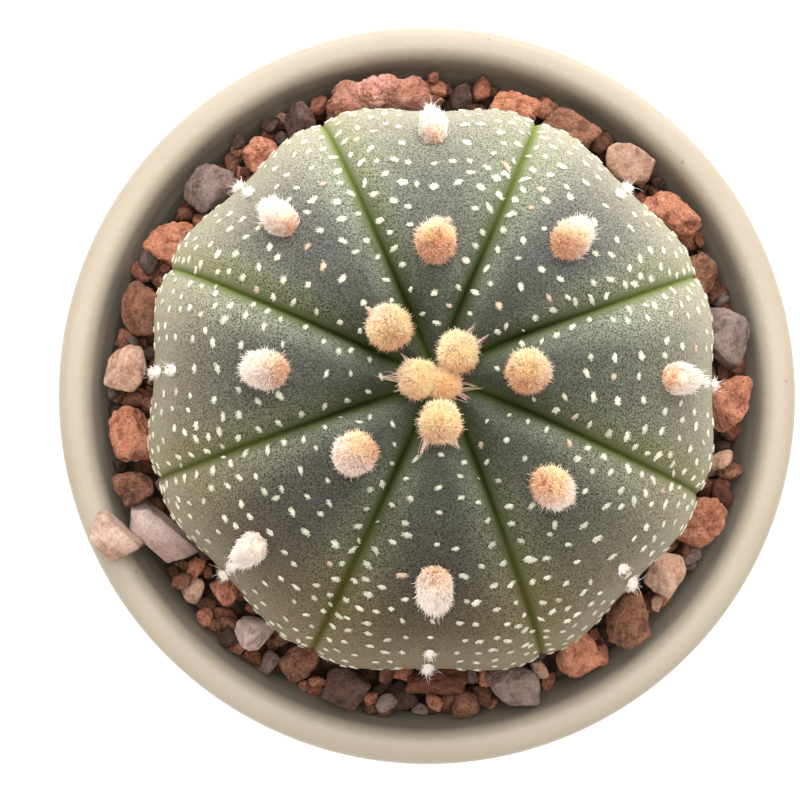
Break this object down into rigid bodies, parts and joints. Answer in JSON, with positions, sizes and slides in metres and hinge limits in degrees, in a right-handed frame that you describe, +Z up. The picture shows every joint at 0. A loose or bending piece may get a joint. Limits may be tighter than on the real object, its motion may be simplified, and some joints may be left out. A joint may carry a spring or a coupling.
{
  "type": "potted star cactus",
  "caption": "Spineless globular star cactus with woolly areoles and white flecks, rooted in gritty mix under a lava-gravel top dressing, in a plain round stoneware pot with a drain hole.",
  "frame": {"origin": "centre of the pot's foot ring, on the surface the pot stands on", "axes": "+Z up along the plant's axis, -Z out of the foot of the pot; seen from above +X is to the right and +Y is the top of the picture"},
  "size_m": [0.082, 0.082, 0.1027],
  "materials": {
    "stoneware": "matte",
    "fired_clay": "matte",
    "potting_mix": "matte",
    "skin": "satin",
    "fresh_wool": "matte",
    "aged_wool": "matte",
    "red_stone": "matte",
    "grey_stone": "matte",
    "brown_stone": "matte",
    "pale_stone": "matte",
    "dark_stone": "matte",
    "lilac_stone": "matte",
    "clay_lump": "matte"
  },
  "bodies": {
    "root": {"areole_01": "fresh_wool", "areole_02": "fresh_wool", "areole_03": "fresh_wool", "areole_04": "fresh_wool", "areole_05": "fresh_wool", "areole_06": "fresh_wool", "areole_07": "fresh_wool", "areole_08": "fresh_wool", "areole_09": "fresh_wool", "areole_10": "fresh_wool", "areole_11": "aged_wool", "areole_12": "aged_wool", "areole_13": "aged_wool", "areole_14": "aged_wool", "areole_15": "aged_wool", "areole_16": "aged_wool", "areole_17": "aged_wool", "areole_18": "aged_wool", "areole_19": "aged_wool", "areole_20": "aged_wool", "areole_21": "aged_wool", "areole_22": "aged_wool", "areole_23": "aged_wool", "areole_24": "aged_wool", "areole_25": "aged_wool", "areole_26": "aged_wool", "beige_chip": "pale_stone", "brown_stone_1": "brown_stone", "brown_stone_2": "brown_stone", "brown_stone_3": "brown_stone", "brown_stone_4": "brown_stone", "brown_stone_5": "brown_stone", "brown_stone_6": "brown_stone", "cactus_body": "skin", "clay_lump": "clay_lump", "dark_stone_1": "dark_stone", "dark_stone_2": "dark_stone", "dark_stone_3": "dark_stone", "drain_crock": "fired_clay", "gravel_bed": "brown_stone", "grey_stone_1": "grey_stone", "grey_stone_2": "grey_stone", "grey_stone_3": "grey_stone", "lava_rock": "red_stone", "lilac_chip": "lilac_stone", "lilac_stone": "lilac_stone", "pale_stone_1": "pale_stone", "pale_stone_2": "pale_stone", "pale_stone_3": "pale_stone", "pot": "stoneware", "potting_mix": "potting_mix", "red_stone_1": "red_stone", "red_stone_2": "red_stone", "red_stone_3": "red_stone", "red_stone_4": "red_stone", "red_stone_5": "red_stone", "red_stone_6": "red_stone", "red_stone_7": "red_stone", "red_stone_8": "red_stone", "red_stone_9": "red_stone"}
  },
  "joints": []
}
